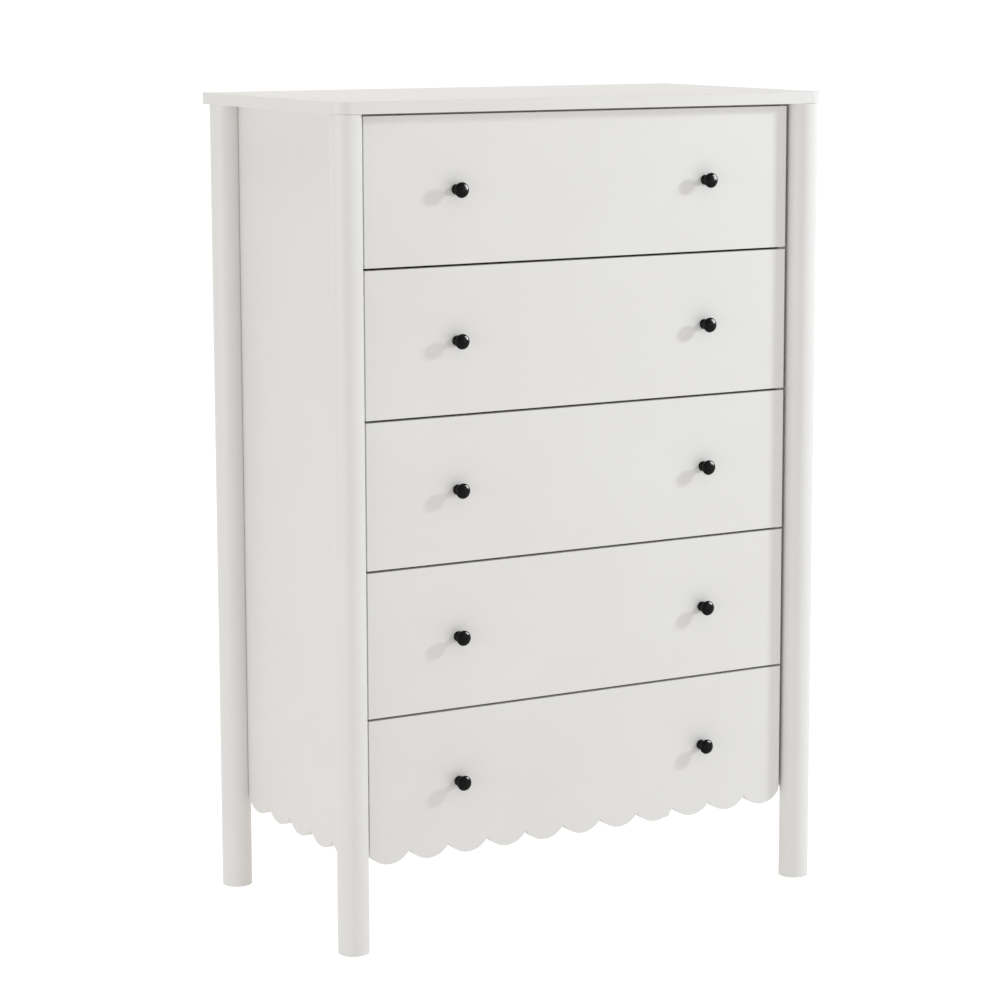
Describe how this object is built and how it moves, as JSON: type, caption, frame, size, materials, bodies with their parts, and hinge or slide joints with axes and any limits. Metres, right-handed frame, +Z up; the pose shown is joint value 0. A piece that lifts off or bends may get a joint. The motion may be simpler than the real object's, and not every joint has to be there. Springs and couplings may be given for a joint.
{
  "type": "tall chest of drawers",
  "caption": "Tall white painted chest of drawers with round full-height posts, a thin flat top, flat drawer fronts on side runners, small black knobs and scalloped lower edges.",
  "frame": {"origin": "on the floor, under the middle of the chest", "axes": "+Z up along the height, +X along the width, and the drawers face and open towards -Y"},
  "size_m": [0.808, 0.44, 1.2],
  "materials": {
    "white_paint": "off-white satin paint over smooth board",
    "drawer_box_wood": "clear-lacquered pale hardwood plywood",
    "back_board": "off-white laminated hardboard",
    "black_knob": "gloss black enamel",
    "runner_steel": "zinc-plated rolled steel"
  },
  "bodies": {
    "carcass": {"top_panel": "white_paint", "leg_front_left": "white_paint", "leg_front_right": "white_paint", "leg_rear_left": "white_paint", "leg_rear_right": "white_paint", "side_panel_left": "white_paint", "side_panel_right": "white_paint", "back_panel": "back_board", "top_rail_front": "white_paint", "top_rail_rear": "white_paint", "bottom_rail_front": "white_paint", "bottom_rail_rear": "white_paint", "runner_1_left": "runner_steel", "runner_1_right": "runner_steel", "runner_2_left": "runner_steel", "runner_2_right": "runner_steel", "runner_3_left": "runner_steel", "runner_3_right": "runner_steel", "runner_4_left": "runner_steel", "runner_4_right": "runner_steel", "runner_5_left": "runner_steel", "runner_5_right": "runner_steel"},
    "top_drawer": {"drawer_1_front": "white_paint", "drawer_1_side_left": "drawer_box_wood", "drawer_1_side_right": "drawer_box_wood", "drawer_1_back": "drawer_box_wood", "drawer_1_bottom": "drawer_box_wood", "drawer_1_knob_left": "black_knob", "drawer_1_knob_right": "black_knob"},
    "second_drawer": {"drawer_2_front": "white_paint", "drawer_2_side_left": "drawer_box_wood", "drawer_2_side_right": "drawer_box_wood", "drawer_2_back": "drawer_box_wood", "drawer_2_bottom": "drawer_box_wood", "drawer_2_knob_left": "black_knob", "drawer_2_knob_right": "black_knob"},
    "middle_drawer": {"drawer_3_front": "white_paint", "drawer_3_side_left": "drawer_box_wood", "drawer_3_side_right": "drawer_box_wood", "drawer_3_back": "drawer_box_wood", "drawer_3_bottom": "drawer_box_wood", "drawer_3_knob_left": "black_knob", "drawer_3_knob_right": "black_knob"},
    "fourth_drawer": {"drawer_4_front": "white_paint", "drawer_4_side_left": "drawer_box_wood", "drawer_4_side_right": "drawer_box_wood", "drawer_4_back": "drawer_box_wood", "drawer_4_bottom": "drawer_box_wood", "drawer_4_knob_left": "black_knob", "drawer_4_knob_right": "black_knob"},
    "bottom_drawer": {"drawer_5_front": "white_paint", "drawer_5_side_left": "drawer_box_wood", "drawer_5_side_right": "drawer_box_wood", "drawer_5_back": "drawer_box_wood", "drawer_5_bottom": "drawer_box_wood", "drawer_5_knob_left": "black_knob", "drawer_5_knob_right": "black_knob"}
  },
  "joints": [
    {"name": "top_drawer_slide", "type": "slide", "parent": "carcass", "child": "top_drawer", "axis": [0, -1, 0], "range_m": [0, 0.25]},
    {"name": "second_drawer_slide", "type": "slide", "parent": "carcass", "child": "second_drawer", "axis": [0, -1, 0], "range_m": [0, 0.25]},
    {"name": "middle_drawer_slide", "type": "slide", "parent": "carcass", "child": "middle_drawer", "axis": [0, -1, 0], "range_m": [0, 0.25]},
    {"name": "fourth_drawer_slide", "type": "slide", "parent": "carcass", "child": "fourth_drawer", "axis": [0, -1, 0], "range_m": [0, 0.25]},
    {"name": "bottom_drawer_slide", "type": "slide", "parent": "carcass", "child": "bottom_drawer", "axis": [0, -1, 0], "range_m": [0, 0.25]}
  ]
}
